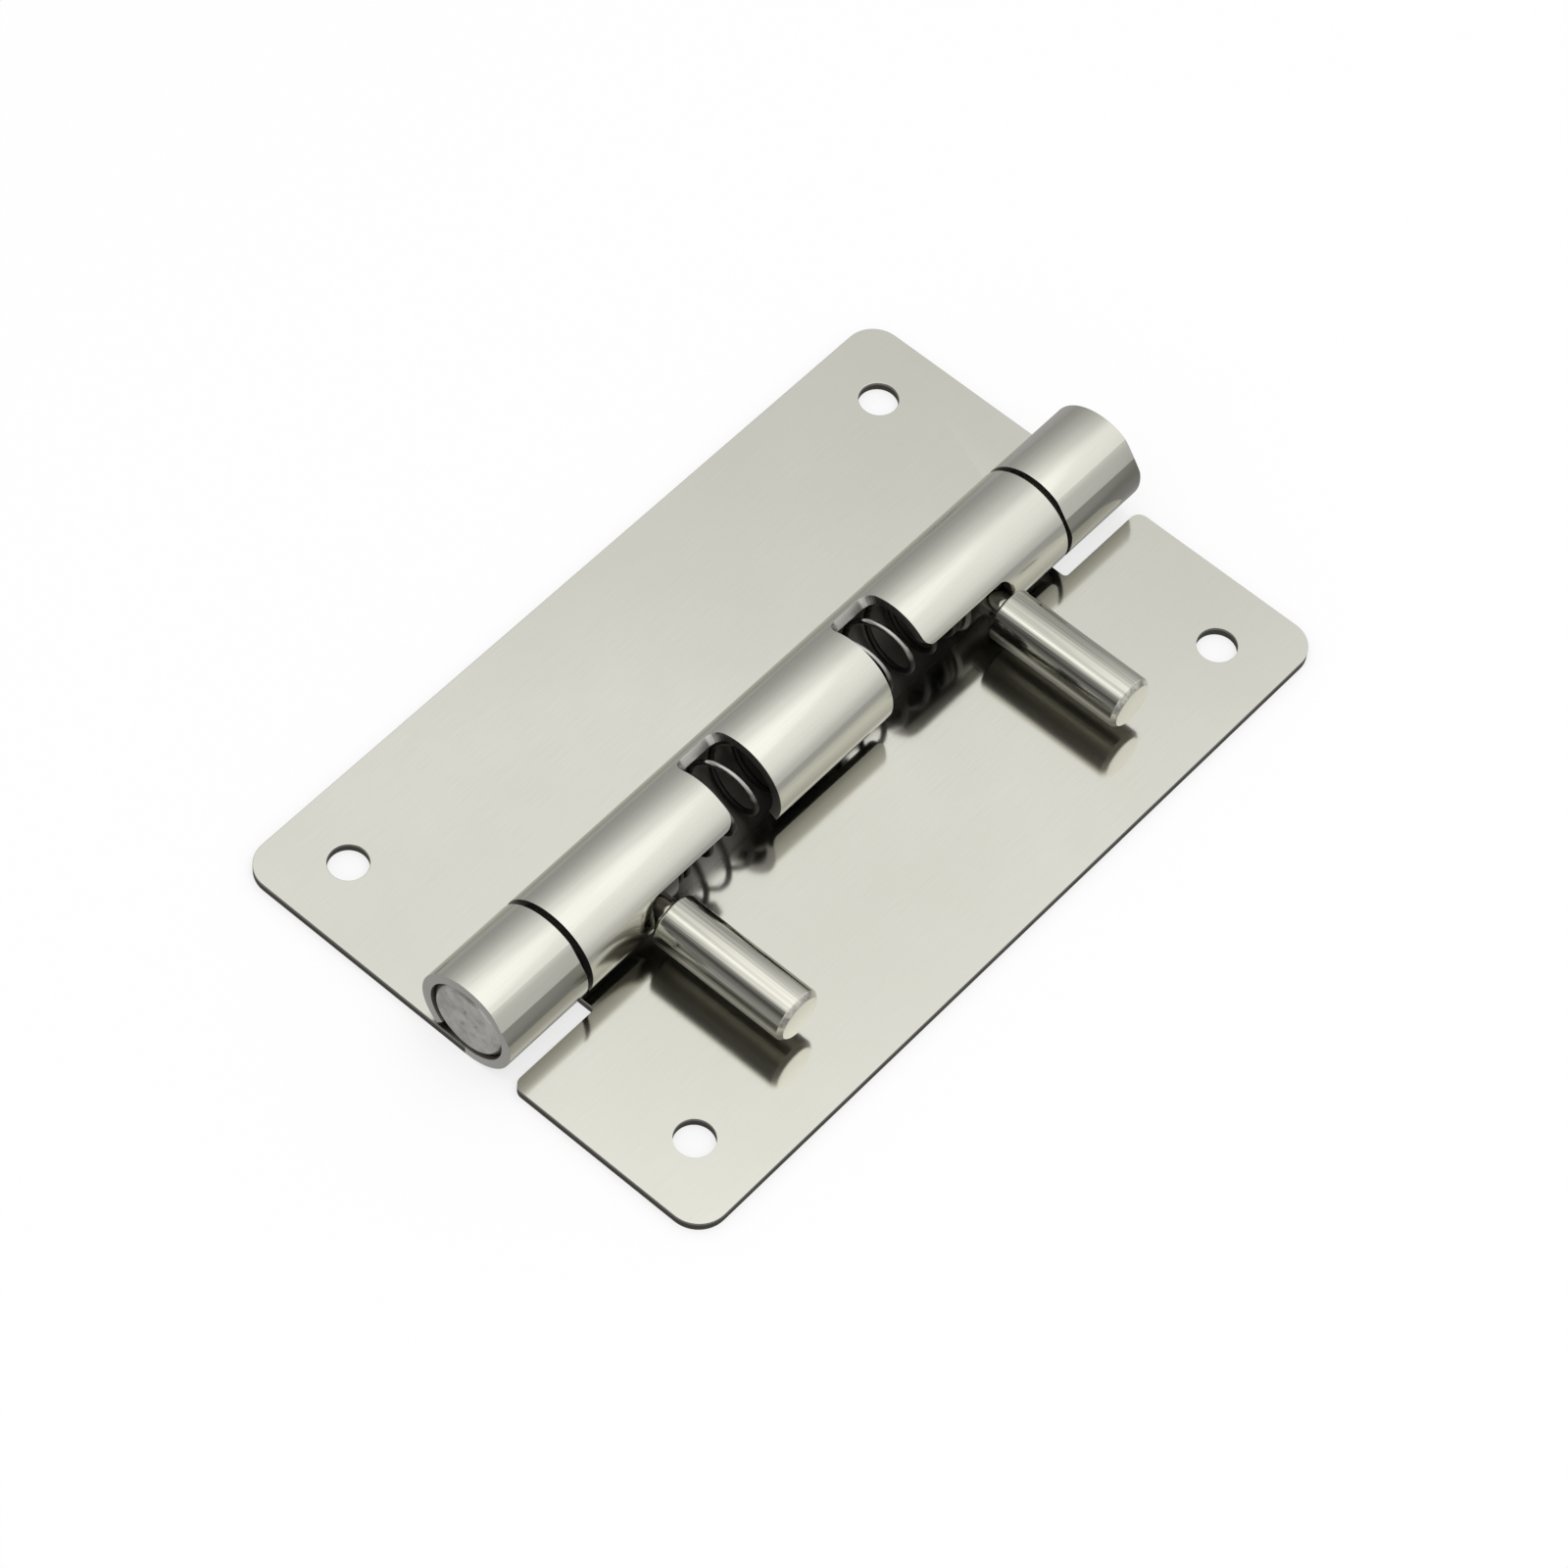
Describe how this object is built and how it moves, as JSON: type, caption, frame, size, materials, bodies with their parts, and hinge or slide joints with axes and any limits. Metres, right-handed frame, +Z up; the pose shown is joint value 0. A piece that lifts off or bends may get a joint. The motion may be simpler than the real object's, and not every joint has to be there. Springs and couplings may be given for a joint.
{
  "type": "spring hinge",
  "caption": "Flat sheet-metal hinge with a rolled barrel; finger levers draw spring-loaded pins out of the outer knuckles so that the leaves come apart.",
  "frame": {"origin": "on the mounting plane, straight under the hinge axis, halfway along the barrel", "axes": "+X across the barrel leaf away from the barrel, +Y along the barrel, +Z up from the mounting plane through the barrel"},
  "size_m": [0.064, 0.1, 0.0121],
  "materials": {
    "leaf_steel": "satin brushed",
    "pin_steel": "turned",
    "lever_steel": "polished",
    "spring_steel": "bright wire"
  },
  "bodies": {
    "barrel_leaf": {"barrel_leaf": "leaf_steel", "spring": "spring_steel"},
    "knuckle_leaf": {"knuckle_leaf": "leaf_steel"},
    "front_bolt": {"front_pin": "pin_steel", "front_lever": "lever_steel"},
    "back_bolt": {"back_pin": "pin_steel", "back_lever": "lever_steel"}
  },
  "joints": [
    {"name": "leaf_swing", "type": "hinge", "parent": "barrel_leaf", "child": "knuckle_leaf", "pos_m": [0, 0, 0.00605], "axis": [0, 1, 0], "range_deg": [-90, 180]},
    {"name": "front_bolt_slide", "type": "slide", "parent": "barrel_leaf", "child": "front_bolt", "axis": [0, 1, 0], "range_m": [0, 0.0155], "stiffness_N_per_m": 300, "springref_m": -0.02, "deforming": ["spring"]},
    {"name": "back_bolt_slide", "type": "slide", "parent": "barrel_leaf", "child": "back_bolt", "axis": [0, -1, 0], "range_m": [0, 0.0155], "stiffness_N_per_m": 300, "springref_m": -0.02, "deforming": ["spring"]}
  ]
}
